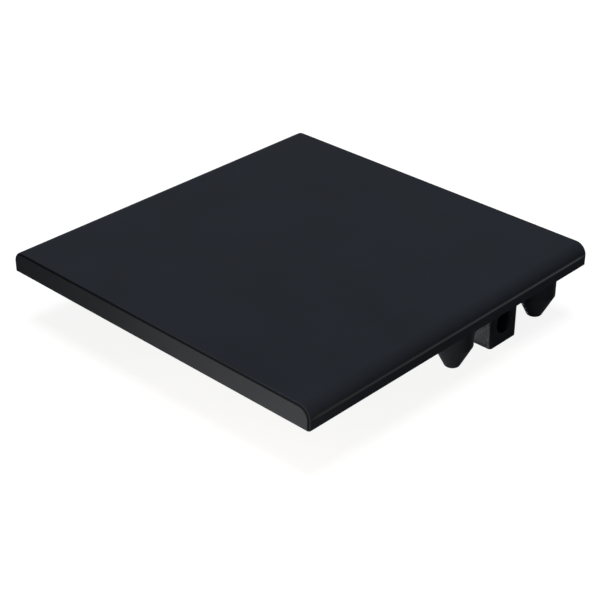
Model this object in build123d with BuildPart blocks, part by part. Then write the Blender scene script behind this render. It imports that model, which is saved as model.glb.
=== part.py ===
from build123d import *
import os

# Profile end cap: one moulded piece that closes the cut end of an aluminium framing profile.
# A square cover plate carries round locating pins, which go into the profile's corner chambers,
# and slot keys, which go into its T-slots and are held there by a grub screw in a cross hole.
#
# Frame: the origin is the middle of the seating face, which is the plate's underside. +Z points out of
# the cover side, +X towards the end that carries the pins and keys, and the rounded edges run along X.

# Cover plate
plate_length = 80.0  # along X
plate_width = 80.0  # along Y, from one rounded edge to the other
plate_thickness = 4.5
rounded_edge_radius = 2.5  # the two outer edges that run along X
eased_edge_radius = 0.5  # round each flat end, and down the plate's upright corners

# Profile that the cap closes: it lies flush with the plate's +X end
profile_width = 40.0  # along X, one slot wide
chamber_side_inset = 6.8  # from the profile's long side to a corner chamber's axis, along X
chamber_end_inset = 6.6  # from the plate's rounded edge to a corner chamber's axis, along Y

# Locating pins
pin_diameter = 7.85
pin_length = 11.3  # below the seating face, tip included
tip_length = 4.85  # the conical lead-in
tip_end_diameter = 3.0  # where the cone would meet the flat end of the tip
tip_end_radius = 0.45
root_radius = 0.4  # where a pin or a key grows out of the plate

# Slot keys
key_width = 8.2  # along X, across the slot
key_depth = 7.5  # along Y, into the slot
key_height = 11.2  # below the seating face
key_end_inset = 4.4  # from the plate's rounded edge to the key's outer face, behind the slot's lips
key_corner_radius = 0.6
screw_hole_diameter = 5.0
screw_hole_drop = 6.4  # from the seating face to the hole's axis

# Places that follow from the sizes above
slot_x = plate_length / 2 - profile_width / 2
pin_pitch = profile_width - 2 * chamber_side_inset
pin_span = plate_width - 2 * chamber_end_inset
key_span = plate_width - 2 * key_end_inset - key_depth

# A locating pin, hanging from the seating face, drawn as half of its section and turned round Z
with BuildPart() as locating_pin:
    with BuildSketch(Plane.XZ):
        with BuildLine():
            Polyline(
                (0, 0),
                (pin_diameter / 2, 0),
                (pin_diameter / 2, tip_length - pin_length),
                (tip_end_diameter / 2, -pin_length),
                (0, -pin_length),
                close=True,
            )
        pin_section = make_face()
        fillet(pin_section.vertices().group_by(Axis.Y)[0].sort_by(Axis.X)[-1], radius=tip_end_radius)
    revolve(axis=Axis.Z)

# A slot key: an upright block with eased corners and a cross hole for the grub screw, along Y
with BuildPart() as slot_key:
    with BuildSketch():
        RectangleRounded(key_width, key_depth, key_corner_radius)
    extrude(amount=-key_height)
    with BuildSketch(Plane.XZ.offset(-key_depth / 2)):
        with Locations((0, -screw_hole_drop)):
            Circle(screw_hole_diameter / 2)
    extrude(amount=key_depth, mode=Mode.SUBTRACT)

with BuildPart() as end_cap:
    # Cover plate, with its two long outer edges rounded
    with BuildSketch():
        Rectangle(plate_length, plate_width)
    extrude(amount=plate_thickness)
    outer_edges = end_cap.faces().sort_by(Axis.Z)[-1].edges()
    fillet(outer_edges.filter_by(Axis.X), radius=rounded_edge_radius)
    # The flat ends stay flat, and every edge round them is eased except the one at the seating face
    end_faces = end_cap.faces().filter_by(Axis.X)
    seating_edges = end_cap.faces().sort_by(Axis.Z)[0].edges()
    fillet([edge for edge in end_faces.edges() if edge not in seating_edges], radius=eased_edge_radius)
    # Pins at the profile's four corner chambers, and a key in each of its two end slots
    with Locations((slot_x, 0, 0)):
        with GridLocations(pin_pitch, pin_span, 2, 2):
            add(locating_pin.part)
        with GridLocations(0, key_span, 1, 2):
            add(slot_key.part)
    # Roots of the pins and keys, where they leave the seating face
    seating_face = end_cap.faces().filter_by(Plane.XY).filter_by(lambda face: abs(face.center().Z) < 1e-6)
    fillet(seating_face.sort_by(SortBy.AREA)[-1].inner_wires().edges(), radius=root_radius)

end_cap.part.label = "end_cap"

os.makedirs("parts", exist_ok=True)
export_step(end_cap.part, "parts/end_cap.step")
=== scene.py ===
import math

import bmesh
import bpy
from bpy.props import FloatProperty, FloatVectorProperty, PointerProperty
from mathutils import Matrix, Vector


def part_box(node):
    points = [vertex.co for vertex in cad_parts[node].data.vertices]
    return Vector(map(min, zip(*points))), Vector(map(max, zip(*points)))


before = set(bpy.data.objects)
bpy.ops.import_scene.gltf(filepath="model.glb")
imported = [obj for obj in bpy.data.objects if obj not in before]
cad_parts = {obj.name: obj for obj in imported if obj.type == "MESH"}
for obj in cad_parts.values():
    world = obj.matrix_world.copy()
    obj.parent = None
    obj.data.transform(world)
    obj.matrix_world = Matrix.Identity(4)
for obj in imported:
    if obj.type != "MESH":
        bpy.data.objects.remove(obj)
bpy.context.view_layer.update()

bl_info = {
    "name": "Profile end cap",
    "version": (1, 0, 0),
    "blender": (4, 5, 0),
    "location": "3D View > Sidebar > End cap",
    "description": "Gives a moulded profile end cap its finish and lays out the studio round it",
    "category": "Object",
}

# The cap as it comes from the construction: its plate lies above the seating face, its pins and keys below
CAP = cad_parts["end_cap"]
CAP_LOW, CAP_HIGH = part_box("end_cap")
HALF_LENGTH = CAP_HIGH.x
HALF_WIDTH = CAP_HIGH.y
PLATE_TOP = CAP_HIGH.z
PIN_ENDS = CAP_LOW.z

# How clouding and grain vary the moulded skin
MOTTLE_SHARE = 0.65
TONE_SPREAD = 0.2
MOTTLE_ROUGHNESS = 0.12
GRAIN_ROUGHNESS = 0.16
MOTTLE_DETAIL = 3.0
GRAIN_DETAIL = 2.0

# How the burnish of handling shows: polished and worn smoother, with painted shade darkening the eased
# edges. The distance from the plate's end counts the lean below times, which keeps the burnish and its
# painted shade along the edge, and the rise below makes it full but for a soft rim.
RUB_AND_SHADE_LEAN = 2
RUB_AND_SHADE_RISE = 5
# Painted shade: the eased edges' colour is darkened to this share of the skin's colour
PAINTED_EDGE_SHADE_TONE = 0.15
RUB_POLISH = 0.15
RUB_WEAR = 0.6

# How the parting line's witness shows: a faint raised ridge, with a painted highlight along it. It weakens
# by the slope below from the keyed end to the cap's middle, and by as much again to the plain end.
RIDGE_AND_HIGHLIGHT_SLOPE = 0.4
WITNESS_HEIGHT = 0.00003

# How far the painted edge shade and the painted highlight line cover the skin's own colour
MARK_STRENGTH = 0.9

# The floor's rim and the camera, whose sensor is in millimetres
FLOOR_SIDES = 64
SENSOR_WIDTH = 36
NEAR_CLIP = 0.01


class Wire:
    """One output of a node. Arithmetic on it adds Math nodes, so shader maths reads as plain Python."""

    def __init__(self, maker, socket):
        self.maker = maker
        self.socket = socket

    def out(self, name):
        """Another output of the same node."""
        return Wire(self.maker, self.socket.node.outputs[name])

    def _math(self, operation, *values):
        return self.maker.add("Math", {"operation": operation}, dict(enumerate(values)))

    def __add__(self, other):
        return self._math("ADD", self, other)

    __radd__ = __add__

    def __sub__(self, other):
        return self._math("SUBTRACT", self, other)

    def __rsub__(self, other):
        return self._math("SUBTRACT", other, self)

    def __mul__(self, other):
        return self._math("MULTIPLY", self, other)

    __rmul__ = __mul__

    def __truediv__(self, other):
        return self._math("DIVIDE", self, other)

    def __rtruediv__(self, other):
        return self._math("DIVIDE", other, self)

    def __pow__(self, other):
        return self._math("POWER", self, other)

    def __rpow__(self, other):
        return self._math("POWER", other, self)

    def __abs__(self):
        return self._math("ABSOLUTE", self)

    def at_least(self, other):
        return self._math("MAXIMUM", self, other)

    def at_most(self, other):
        return self._math("MINIMUM", self, other)


class NodeMaker:
    """Adds nodes to one tree: each node's settings first, then the values or links of its sockets."""

    def __init__(self, tree):
        self.tree = tree
        tree.nodes.clear()

    def add(self, kind, settings=None, sockets=None):
        node = self.tree.nodes.new("ShaderNode" + kind)
        for name, value in (settings or {}).items():
            setattr(node, name, value)
        for name, value in (sockets or {}).items():
            if isinstance(value, Wire):
                self.tree.links.new(value.socket, node.inputs[name])
            else:
                node.inputs[name].default_value = value
        return Wire(self, node.outputs[0]) if node.outputs else None

    def noise(self, place, size, detail):
        """Soft noise from 0 to 1, whose features are about the given size across."""
        return self.add("TexNoise", None, {"Vector": place, "Scale": 1 / size, "Detail": detail})

    def blend(self, share, first, second):
        """One colour running into another."""
        settings = {"data_type": "RGBA", "clamp_factor": True}
        # A Mix node has sockets for each kind of value: 6 and 7 take colours, and 2 gives the mixed one
        mixed = self.add("Mix", settings, {0: share, 6: first, 7: second})
        return Wire(self, mixed.socket.node.outputs[2])


def faded(distance, reach):
    """1 where a distance is nothing, falling evenly to 0 at the given reach."""
    return (1 - distance / reach).at_least(0.0)


class CapFinish(bpy.types.PropertyGroup):
    """The moulded plastic of the cap."""

    colour: FloatVectorProperty(
        name="Colour",
        description="Blue-black of the moulded plastic",
        subtype="COLOR",
        size=3,
        min=0,
        max=1,
        default=(0.0162, 0.0184, 0.0238),
    )
    roughness: FloatProperty(
        name="Roughness",
        description="How matt the moulded skin is",
        subtype="FACTOR",
        min=0,
        max=1,
        default=0.5,
    )
    gloss: FloatProperty(
        name="Gloss",
        description="How much the skin reflects, seen from straight above",
        subtype="FACTOR",
        min=0,
        max=1,
        default=0.004,
    )
    grain_size: FloatProperty(
        name="Grain size",
        description="Width of a grain of the spark-eroded mould surface",
        unit="LENGTH",
        subtype="DISTANCE",
        default=0.00028,
    )
    grain_depth: FloatProperty(
        name="Grain depth",
        description="Height of the grain",
        unit="LENGTH",
        subtype="DISTANCE",
        precision=6,
        default=0.000009,
    )
    mottle_size: FloatProperty(
        name="Mottle size",
        description="Width of the cloudy patches left by the plastic's flow",
        unit="LENGTH",
        subtype="DISTANCE",
        default=0.014,
    )
    rounding: FloatProperty(
        name="Rounding",
        description="Radius of the two long rounded edges of the plate",
        unit="LENGTH",
        subtype="DISTANCE",
        default=0.0025,
    )
    # The same reach bounds the painted shade that darkens the eased edges
    rub_and_shade_width: FloatProperty(
        name="Rub width",
        description="How far the burnish of handling reaches from an eased edge",
        unit="LENGTH",
        subtype="DISTANCE",
        default=0.00056,
    )
    # Painted highlight: the pale grey colour of the line along the rounded edges' lower end
    painted_highlight_colour: FloatVectorProperty(
        name="Witness colour",
        description="Pale grey of the witness where the two halves of the mould met",
        subtype="COLOR",
        size=3,
        min=0,
        max=1,
        default=(0.168, 0.173, 0.19),
    )
    # This width is also that of the painted highlight line
    ridge_and_highlight_width: FloatProperty(
        name="Parting line width",
        description="Width of the witness where the two halves of the mould met",
        unit="LENGTH",
        subtype="DISTANCE",
        default=0.0004,
    )
    # This lift also places the painted highlight line
    ridge_and_highlight_lift: FloatProperty(
        name="Parting line lift",
        description="How far above the start of the rounding the witness runs",
        unit="LENGTH",
        subtype="DISTANCE",
        default=0.00015,
    )


def end_cap_plastic(settings):
    """Moulded plastic: fine grain, faint clouding, burnished edges darkened with painted shade, and a faint
    parting-line ridge with a painted highlight along it.
    """
    material = bpy.data.materials.new("moulded_plastic")
    material.use_nodes = True
    make = NodeMaker(material.node_tree)
    place = make.add("TexCoord").out("Object")
    axes = make.add("SeparateXYZ", None, {"Vector": place})
    x, y, z = axes, axes.out("Y"), axes.out("Z")

    # How far a point lies inside the plate's ends and inside its rounded section
    radius = settings.rounding
    from_end = HALF_LENGTH - abs(x)
    out_y = (abs(y) - (HALF_WIDTH - radius)).at_least(0.0)
    out_z = (z - (PLATE_TOP - radius)).at_least(0.0)
    from_section = radius - (out_y * out_y + out_z * out_z) ** 0.5
    rub_and_painted_shade = RUB_AND_SHADE_RISE * faded(RUB_AND_SHADE_LEAN * from_end + from_section, settings.rub_and_shade_width)
    rub_and_painted_shade = rub_and_painted_shade.at_most(1.0)

    # Parting line's witness, a faint ridge with a painted highlight along it, where the rounded edges run
    # into the plate's straight sides
    from_side = HALF_WIDTH - abs(y)
    from_ridge_and_highlight = abs(z - (PLATE_TOP - radius + settings.ridge_and_highlight_lift))
    parting_ridge_and_highlight = faded(from_ridge_and_highlight, settings.ridge_and_highlight_width) * faded(from_side, settings.ridge_and_highlight_width)
    towards_keys = 1 - RIDGE_AND_HIGHLIGHT_SLOPE + RIDGE_AND_HIGHLIGHT_SLOPE * x / HALF_LENGTH
    parting_ridge_and_highlight = parting_ridge_and_highlight * (from_end / settings.rounding).at_most(1.0) * towards_keys

    # Skin
    grain = make.noise(place, settings.grain_size, GRAIN_DETAIL)
    mottle = make.noise(place, settings.mottle_size, MOTTLE_DETAIL)
    colour = Vector(settings.colour)
    lighter = (*((1 + TONE_SPREAD) * colour), 1)
    darker = (*((1 - TONE_SPREAD) * colour), 1)
    skin = make.blend(MOTTLE_SHARE * mottle + (1 - MOTTLE_SHARE) * grain, darker, lighter)
    # Painted shade: the burnished eased edges are darkened
    skin = make.blend(MARK_STRENGTH * rub_and_painted_shade, skin, (*(PAINTED_EDGE_SHADE_TONE * colour), 1))
    # Painted highlight: a pale grey line along the parting line
    skin = make.blend(MARK_STRENGTH * parting_ridge_and_highlight, skin, (*settings.painted_highlight_colour, 1))
    roughness = settings.roughness + MOTTLE_ROUGHNESS * (mottle - 0.5) + GRAIN_ROUGHNESS * (grain - 0.5)
    roughness = roughness - RUB_POLISH * rub_and_painted_shade
    height = grain * settings.grain_depth * (1 - RUB_WEAR * rub_and_painted_shade) + parting_ridge_and_highlight * WITNESS_HEIGHT
    relief = make.add("Bump", None, {"Strength": 1.0, "Distance": 1.0, "Height": height})
    surface = make.add(
        "BsdfPrincipled",
        None,
        {
            "Base Color": skin,
            "Roughness": roughness,
            "Specular IOR Level": settings.gloss,
            "Normal": relief,
        },
    )
    make.add("OutputMaterial", None, {"Surface": surface})
    return material


class ENDCAP_OT_finish_cap(bpy.types.Operator):
    """Give the one-piece cap its moulded plastic"""

    bl_idname = "endcap.finish_cap"
    bl_label = "Finish the cap"

    def execute(self, context):
        settings = context.scene.cap_finish
        if not CAP.material_slots:
            raise RuntimeError("the cap has no material slot to take its finish")
        plastic = end_cap_plastic(settings)
        for slot in CAP.material_slots:
            slot.material = plastic
        return {"FINISHED"}


class StudioLayout(bpy.types.PropertyGroup):
    """The floor, the lamps and the camera."""

    floor_radius: FloatProperty(
        name="Floor radius",
        description="Radius of the round white floor",
        unit="LENGTH",
        subtype="DISTANCE",
        default=3.0,
    )
    floor_gap: FloatProperty(
        name="Floor gap",
        description="How far the floor lies below the pin ends, so that the two don't share a plane",
        unit="LENGTH",
        subtype="DISTANCE",
        precision=6,
        default=0.00005,
    )
    floor_tone: FloatProperty(
        name="Floor tone",
        description="How much of the lamps' light the floor gives back, and so how much it shows the shadow",
        subtype="FACTOR",
        min=0,
        max=1,
        default=0.2,
    )
    floor_glow: FloatProperty(
        name="Floor glow",
        description="White that the floor shows of itself near the cap, up to the white background",
        subtype="FACTOR",
        min=0,
        max=1,
        default=0.88,
    )
    fade_radius: FloatProperty(
        name="Fade radius",
        description="Distance at which the floor is wholly white of itself",
        unit="LENGTH",
        subtype="DISTANCE",
        default=0.6,
    )
    room_light: FloatProperty(
        name="Room light",
        description="Even light that comes from all round",
        min=0,
        default=0.16,
    )
    overhead_size: FloatProperty(
        name="Overhead size",
        description="Side of the square soft box that hangs above the cap",
        unit="LENGTH",
        subtype="DISTANCE",
        default=0.5,
    )
    overhead_height: FloatProperty(
        name="Overhead height",
        description="Height of the soft box above the cap",
        unit="LENGTH",
        subtype="DISTANCE",
        default=0.8,
    )
    overhead_radiance: FloatProperty(
        name="Overhead brightness",
        description="Brightness of the soft box, where 1 is white",
        min=0,
        default=8.1,
    )
    strip_length: FloatProperty(
        name="Strip length",
        description="Length of the low strip lamp beside the cap's plain end",
        unit="LENGTH",
        subtype="DISTANCE",
        default=0.05,
    )
    strip_distance: FloatProperty(
        name="Strip distance",
        description="Distance of the strip lamp from the cap's plain end",
        unit="LENGTH",
        subtype="DISTANCE",
        default=0.05,
    )
    strip_offset: FloatProperty(
        name="Strip offset",
        description="How far the strip lamp stands towards the front corner, from the cap's middle",
        unit="LENGTH",
        subtype="DISTANCE",
        default=0.038,
    )
    strip_radiance: FloatProperty(
        name="Strip brightness",
        description="Brightness of the strip lamp, where 1 is white",
        min=0,
        default=29.5,
    )
    strip_colour: FloatVectorProperty(
        name="Strip colour",
        description="Warm white of the strip lamps",
        subtype="COLOR",
        size=3,
        min=0,
        max=2,
        default=(1.12, 1.0, 0.82),
    )
    under_strip_length: FloatProperty(
        name="Under strip length",
        description="Length of the gridded strip lamp that shines under the plate",
        unit="LENGTH",
        subtype="DISTANCE",
        default=0.014,
    )
    under_strip_height: FloatProperty(
        name="Under strip height",
        description="Height of the gridded strip lamp that shines under the plate",
        unit="LENGTH",
        subtype="DISTANCE",
        default=0.004,
    )
    under_strip_lift: FloatProperty(
        name="Under strip lift",
        description="Height of the gridded strip lamp's middle above the pin ends",
        unit="LENGTH",
        subtype="DISTANCE",
        default=0.0032,
    )
    under_strip_distance: FloatProperty(
        name="Under strip distance",
        description="Distance of the gridded strip lamp from the cap's plain end",
        unit="LENGTH",
        subtype="DISTANCE",
        default=0.02,
    )
    under_strip_offset: FloatProperty(
        name="Under strip offset",
        description="How far the gridded strip lamp stands away from the front, from the cap's middle",
        unit="LENGTH",
        subtype="DISTANCE",
        default=0.024,
    )
    under_strip_spread: FloatProperty(
        name="Under strip spread",
        description="Angle over which the grid lets the light through",
        unit="ROTATION",
        subtype="ANGLE",
        default=math.radians(8),
    )
    under_strip_radiance: FloatProperty(
        name="Under strip brightness",
        description="Brightness of the gridded strip lamp, where 1 is white",
        min=0,
        default=6.4,
    )
    key_face: FloatVectorProperty(
        name="Key's lit face",
        description="Where the gridded strip lamp aims, along and across the cap from its middle",
        unit="LENGTH",
        subtype="XYZ",
        size=2,
        default=(0.016, -0.0316),
    )
    camera_azimuth: FloatProperty(
        name="Camera azimuth",
        description="Direction from which the camera looks, round the cap, where 0 looks along +Y",
        unit="ROTATION",
        subtype="ANGLE",
        default=math.radians(-46.2327),
    )
    camera_elevation: FloatProperty(
        name="Camera elevation",
        description="Height of the camera above the horizon",
        unit="ROTATION",
        subtype="ANGLE",
        default=math.radians(30.3379),
    )
    camera_distance: FloatProperty(
        name="Camera distance",
        description="Distance from the camera to the middle of the plate's top",
        unit="LENGTH",
        subtype="DISTANCE",
        default=0.29885,
    )
    camera_lens: FloatProperty(
        name="Lens",
        description="Focal length on a 36 mm wide sensor",
        unit="CAMERA",
        default=91.07,
    )
    aim_across: FloatProperty(
        name="Aim across",
        description="How far the camera looks to the right of the middle of the plate's top",
        unit="LENGTH",
        subtype="DISTANCE",
        default=-0.0002957,
    )
    aim_up: FloatProperty(
        name="Aim up",
        description="How far the camera looks above the middle of the plate's top",
        unit="LENGTH",
        subtype="DISTANCE",
        default=-0.0104483,
    )


def background_share(make):
    """1 for what the camera sees of the background, straight, in a gloss or through something clear."""
    path = make.add("LightPath")
    return path.at_least(path.out("Is Glossy Ray")).at_least(path.out("Is Transmission Ray"))


def white_floor(settings):
    """A round white floor at the pin ends, which keeps the cap's shadow."""
    mesh = bpy.data.meshes.new("floor")
    shape = bmesh.new()
    bmesh.ops.create_circle(shape, cap_ends=True, segments=FLOOR_SIDES, radius=settings.floor_radius)
    shape.to_mesh(mesh)
    shape.free()
    floor = bpy.data.objects.new("floor", mesh)
    floor.location.z = PIN_ENDS - settings.floor_gap
    bpy.context.scene.collection.objects.link(floor)
    material = bpy.data.materials.new("floor_white")
    material.use_nodes = True
    make = NodeMaker(material.node_tree)
    tone = settings.floor_tone
    lit = make.add("BsdfDiffuse", None, {"Color": (tone, tone, tone, 1)})
    # The floor's own white makes up for the lamps' light, which fades away from the cap
    axes = make.add("SeparateXYZ", None, {"Vector": make.add("TexCoord").out("Object")})
    far = ((axes * axes + axes.out("Y") * axes.out("Y")) / settings.fade_radius**2).at_most(1.0)
    near_glow = settings.floor_glow
    glow = make.blend(far, (near_glow, near_glow, near_glow, 1), (1, 1, 1, 1))
    glowing = make.add("Emission", None, {"Color": glow, "Strength": 1.0})
    bright = make.add("AddShader", None, {0: lit, 1: glowing})
    whole = make.add("MixShader", None, {0: background_share(make), 1: lit, 2: bright})
    make.add("OutputMaterial", None, {"Surface": whole})
    mesh.materials.append(material)


def room(settings):
    """Even light from all round, in front of a white background."""
    world = bpy.data.worlds.new("room")
    world.use_nodes = True
    make = NodeMaker(world.node_tree)
    light = make.add("Background", None, {"Color": (1, 1, 1, 1), "Strength": settings.room_light})
    white = make.add("Background", None, {"Color": (1, 1, 1, 1), "Strength": 1.0})
    whole = make.add("MixShader", None, {0: background_share(make), 1: light, 2: white})
    make.add("OutputWorld", None, {"Surface": whole})
    bpy.context.scene.world = world


def soft_box(name, place, aim, width, height, radiance, colour=(1, 1, 1), spread=math.pi):
    """A soft box of a given brightness, facing a point. The camera doesn't see it."""
    # An area lamp's brightness is its energy divided by pi and by its area
    lamp = bpy.data.lights.new(name, "AREA")
    lamp.shape = "RECTANGLE"
    lamp.size = width
    lamp.size_y = height
    lamp.spread = spread
    lamp.color = colour
    lamp.energy = math.pi * width * height * radiance
    holder = bpy.data.objects.new(name, lamp)
    holder.location = place
    holder.rotation_mode = "QUATERNION"
    holder.rotation_quaternion = (Vector(aim) - Vector(place)).to_track_quat("-Z", "Y")
    holder.visible_camera = False
    bpy.context.scene.collection.objects.link(holder)


def studio_camera(settings):
    """The camera, looking down at the front corner of the plate."""
    azimuth = settings.camera_azimuth
    elevation = settings.camera_elevation
    back = Vector((
        math.sin(azimuth) * math.cos(elevation),
        -math.cos(azimuth) * math.cos(elevation),
        math.sin(elevation),
    ))
    right = Vector((math.cos(azimuth), math.sin(azimuth), 0))
    up = back.cross(right)
    camera = bpy.data.objects.new("camera", bpy.data.cameras.new("camera"))
    camera.data.sensor_width = SENSOR_WIDTH
    camera.data.lens = settings.camera_lens
    camera.data.clip_start = NEAR_CLIP
    camera.location = Vector((0, 0, PLATE_TOP)) + back * settings.camera_distance
    camera.location += right * settings.aim_across + up * settings.aim_up
    camera.rotation_mode = "QUATERNION"
    camera.rotation_quaternion = (-back).to_track_quat("-Z", "Y")
    bpy.context.scene.collection.objects.link(camera)
    bpy.context.scene.camera = camera


class ENDCAP_OT_lay_out_studio(bpy.types.Operator):
    """Lay out the white floor, the lamps, the room light and the camera"""

    bl_idname = "endcap.lay_out_studio"
    bl_label = "Lay out the studio"

    def execute(self, context):
        settings = context.scene.studio_layout
        context.scene.view_settings.view_transform = "Standard"
        white_floor(settings)
        room(settings)
        soft_box(
            "overhead",
            (0, 0, PLATE_TOP + settings.overhead_height),
            (0, 0, PLATE_TOP),
            settings.overhead_size,
            settings.overhead_size,
            settings.overhead_radiance,
        )
        strip_height = PLATE_TOP - PIN_ENDS
        strip_middle = (PLATE_TOP + PIN_ENDS) / 2
        strip_x = -HALF_LENGTH - settings.strip_distance
        soft_box(
            "low_strip",
            (strip_x, -settings.strip_offset, strip_middle),
            (0, -settings.strip_offset, strip_middle),
            settings.strip_length,
            strip_height,
            settings.strip_radiance,
            settings.strip_colour,
        )
        under_height = PIN_ENDS + settings.under_strip_lift
        soft_box(
            "under_strip",
            (-HALF_LENGTH - settings.under_strip_distance, settings.under_strip_offset, under_height),
            (*settings.key_face, under_height),
            settings.under_strip_length,
            settings.under_strip_height,
            settings.under_strip_radiance,
            settings.strip_colour,
            settings.under_strip_spread,
        )
        studio_camera(settings)
        return {"FINISHED"}


class ENDCAP_PT_sidebar(bpy.types.Panel):
    """The steps that finish the cap and light it"""

    bl_idname = "ENDCAP_PT_sidebar"
    bl_label = "Profile end cap"
    bl_space_type = "VIEW_3D"
    bl_region_type = "UI"
    bl_category = "End cap"

    def draw(self, context):
        for group, step in (
            (context.scene.studio_layout, ENDCAP_OT_lay_out_studio),
            (context.scene.cap_finish, ENDCAP_OT_finish_cap),
        ):
            box = self.layout.box()
            for name in group.bl_rna.properties.keys():
                if name not in {"rna_type", "name"}:
                    box.prop(group, name)
            box.operator(step.bl_idname)


CLASSES = (CapFinish, StudioLayout, ENDCAP_OT_finish_cap, ENDCAP_OT_lay_out_studio, ENDCAP_PT_sidebar)


def register():
    for cls in CLASSES:
        bpy.utils.register_class(cls)
    bpy.types.Scene.cap_finish = PointerProperty(type=CapFinish)
    bpy.types.Scene.studio_layout = PointerProperty(type=StudioLayout)


def unregister():
    del bpy.types.Scene.studio_layout
    del bpy.types.Scene.cap_finish
    for cls in reversed(CLASSES):
        bpy.utils.unregister_class(cls)


def main():
    register()
    bpy.ops.endcap.lay_out_studio()
    bpy.ops.endcap.finish_cap()


if __name__ == "__main__":
    main()
